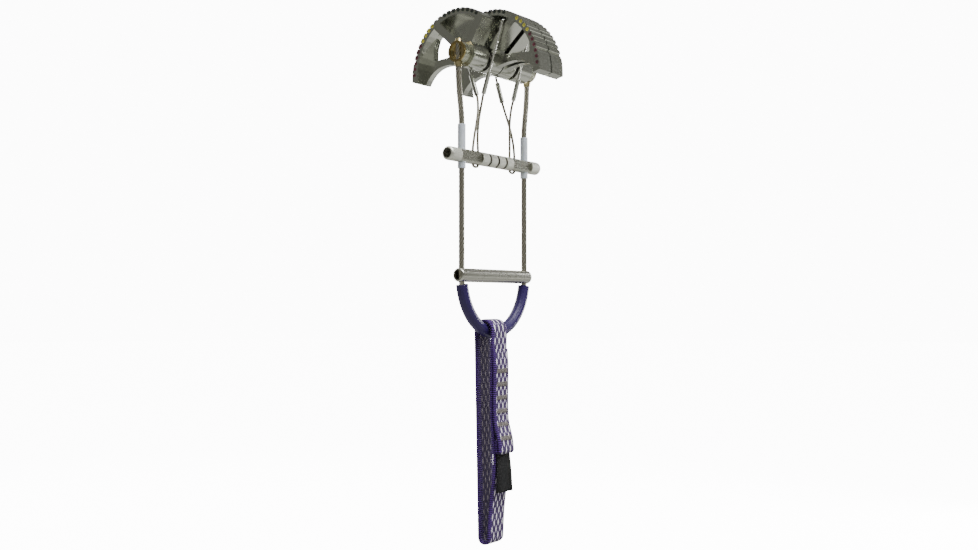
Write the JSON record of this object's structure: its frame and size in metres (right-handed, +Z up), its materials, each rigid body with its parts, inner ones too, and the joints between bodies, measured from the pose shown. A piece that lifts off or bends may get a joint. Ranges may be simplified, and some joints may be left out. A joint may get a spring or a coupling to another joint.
{
  "type": "spring-loaded camming device",
  "caption": "Rock-climbing camming device: toothed spiral cams on one axle, U-shaped cable stem, sliding trigger bar with pull wires, thumb bar and a sewn webbing sling.",
  "frame": {"origin": "middle of the cams' axle", "axes": "+X along the axle, +Y across the cams towards the rock, +Z up, from the sling towards the cams"},
  "size_m": [0.078, 0.0714, 0.2733],
  "materials": {
    "cam_alloy": "polished, with brushed tooth faces",
    "wire_steel": "bright drawn wire",
    "ferrule_steel": "bright crimped tube",
    "axle_steel": "ground",
    "washer_steel": "satin",
    "dark_washer": "black",
    "spring_steel": "dark, oiled",
    "terminal_steel": "heat-tinted",
    "braze": "flowed brazing metal",
    "stem_wire_rope": "stranded",
    "thumb_alloy": "satin",
    "purple_plastic": "smooth",
    "trigger_alloy": "satin, with milled flats",
    "sleeve_plastic": "milky, translucent",
    "trigger_wire_rope": "fine stranded",
    "purple_webbing": "woven purple and white webbing",
    "grey_thread": "dense sewn bars",
    "black_label": "folded satin tape"
  },
  "bodies": {
    "stem": {"axle": "axle_steel", "axle_washers": "washer_steel", "cam_spacers": "dark_washer", "spring_left": "spring_steel", "spring_right": "spring_steel", "terminal_left": "terminal_steel", "terminal_right": "terminal_steel", "braze_left": "braze", "braze_right": "braze", "stem_cable": "stem_wire_rope", "thumb_bar": "thumb_alloy", "loop_tube": "purple_plastic"},
    "trigger": {"trigger_bar": "trigger_alloy", "sleeve_left": "sleeve_plastic", "sleeve_right": "sleeve_plastic", "trigger_cable_left": "trigger_wire_rope", "trigger_cable_right": "trigger_wire_rope"},
    "sling": {"sling_webbing": "purple_webbing", "bar_tacks": "grey_thread", "label_tag": "black_label"},
    "cam_outer_left_body": {"cam_outer_left": "cam_alloy", "hook_outer_left": "wire_steel"},
    "wire_outer_left_body": {"rod_outer_left": "wire_steel", "ferrule_outer_left": "ferrule_steel"},
    "cam_inner_left_body": {"cam_inner_left": "cam_alloy", "hook_inner_left": "wire_steel"},
    "wire_inner_left_body": {"rod_inner_left": "wire_steel", "ferrule_inner_left": "ferrule_steel"},
    "cam_inner_right_body": {"cam_inner_right": "cam_alloy", "hook_inner_right": "wire_steel"},
    "wire_inner_right_body": {"rod_inner_right": "wire_steel", "ferrule_inner_right": "ferrule_steel"},
    "cam_outer_right_body": {"cam_outer_right": "cam_alloy", "hook_outer_right": "wire_steel"},
    "wire_outer_right_body": {"rod_outer_right": "wire_steel", "ferrule_outer_right": "ferrule_steel"}
  },
  "joints": [
    {"name": "trigger_pull", "type": "slide", "parent": "stem", "child": "trigger", "axis": [0, 0, -1], "range_m": [0, 0.0326], "stiffness_N_per_m": 100, "springref_m": -0.01},
    {"name": "cam_outer_left_pivot", "type": "hinge", "parent": "stem", "child": "cam_outer_left_body", "pos_m": [0, 0, 0], "axis": [1, 0, 0], "range_deg": [-94, 0]},
    {"name": "cam_inner_left_pivot", "type": "hinge", "parent": "stem", "child": "cam_inner_left_body", "pos_m": [0, 0, 0], "axis": [1, 0, 0], "range_deg": [0, 94]},
    {"name": "cam_inner_right_pivot", "type": "hinge", "parent": "stem", "child": "cam_inner_right_body", "pos_m": [0, 0, 0], "axis": [1, 0, 0], "range_deg": [0, 94]},
    {"name": "cam_outer_right_pivot", "type": "hinge", "parent": "stem", "child": "cam_outer_right_body", "pos_m": [0, 0, 0], "axis": [1, 0, 0], "range_deg": [-94, 0]},
    {"name": "wire_outer_left_swing", "type": "hinge", "parent": "trigger", "child": "wire_outer_left_body", "pos_m": [-0.0121, 0, -0.0478], "axis": [1, 0, 0], "range_deg": [-2.1, 0]},
    {"name": "wire_inner_left_swing", "type": "hinge", "parent": "trigger", "child": "wire_inner_left_body", "pos_m": [-0.0121, 0, -0.0478], "axis": [1, 0, 0], "range_deg": [0, 2.1]},
    {"name": "wire_inner_right_swing", "type": "hinge", "parent": "trigger", "child": "wire_inner_right_body", "pos_m": [0.0121, 0, -0.0478], "axis": [1, 0, 0], "range_deg": [0, 2.1]},
    {"name": "wire_outer_right_swing", "type": "hinge", "parent": "trigger", "child": "wire_outer_right_body", "pos_m": [0.0121, 0, -0.0478], "axis": [1, 0, 0], "range_deg": [-2.1, 0]},
    {"name": "sling_swing", "type": "hinge", "parent": "stem", "child": "sling", "pos_m": [-0.0029, 0, -0.1396], "axis": [1, 0, 0], "range_deg": [-75, 75]}
  ],
  "couplings": [
    {"joint": "cam_outer_left_pivot", "follows": "trigger_pull", "rad_per_m": -50.25},
    {"joint": "cam_inner_left_pivot", "follows": "trigger_pull", "rad_per_m": 50.25},
    {"joint": "cam_inner_right_pivot", "follows": "trigger_pull", "rad_per_m": 50.25},
    {"joint": "cam_outer_right_pivot", "follows": "trigger_pull", "rad_per_m": -50.25},
    {"joint": "wire_outer_left_swing", "follows": "trigger_pull", "rad_per_m": -1.1028},
    {"joint": "wire_inner_left_swing", "follows": "trigger_pull", "rad_per_m": 1.1028},
    {"joint": "wire_inner_right_swing", "follows": "trigger_pull", "rad_per_m": 1.1028},
    {"joint": "wire_outer_right_swing", "follows": "trigger_pull", "rad_per_m": -1.1028}
  ]
}
